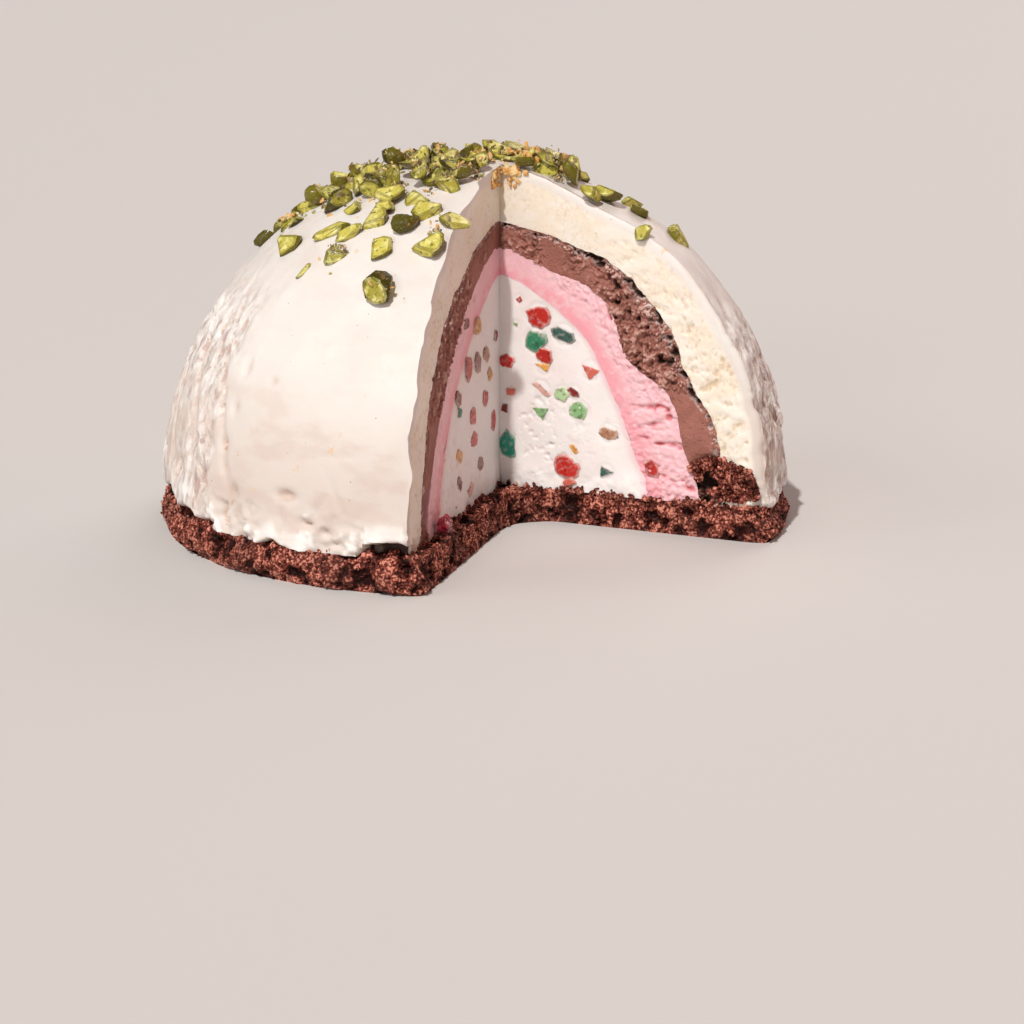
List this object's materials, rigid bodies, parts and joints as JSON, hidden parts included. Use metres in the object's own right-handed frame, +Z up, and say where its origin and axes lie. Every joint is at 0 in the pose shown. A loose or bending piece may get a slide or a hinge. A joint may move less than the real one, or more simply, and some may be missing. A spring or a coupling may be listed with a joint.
{
  "type": "cassata ice cream bombe",
  "caption": "Domed ice cream cake of nested layers on a chocolate sponge, topped with chopped pistachios, with a wedge cut out that shows the layers and candied fruit.",
  "frame": {"origin": "on the flat underside of the sponge, on the axis of the dome", "axes": "+Z up along the dome's axis; the cut wedge opens towards -Y and +X"},
  "size_m": [0.227, 0.2258, 0.1344],
  "materials": {
    "chocolate_sponge": "moist crumb",
    "vanilla_ice_cream": "satin, scraped",
    "chocolate_ice_cream": "crumbly",
    "strawberry_ice_cream": "satin",
    "cassata_cream": "satin",
    "candied_cherry": "wet gloss",
    "pistachio": "cut nut",
    "candied_fruit": "moist gloss"
  },
  "bodies": {
    "root": {"sponge_base": "chocolate_sponge", "vanilla_shell": "vanilla_ice_cream", "chocolate_layer": "chocolate_ice_cream", "strawberry_layer": "strawberry_ice_cream", "fruit_core": "cassata_cream", "cherry_piece": "candied_cherry"}
  },
  "joints": []
}
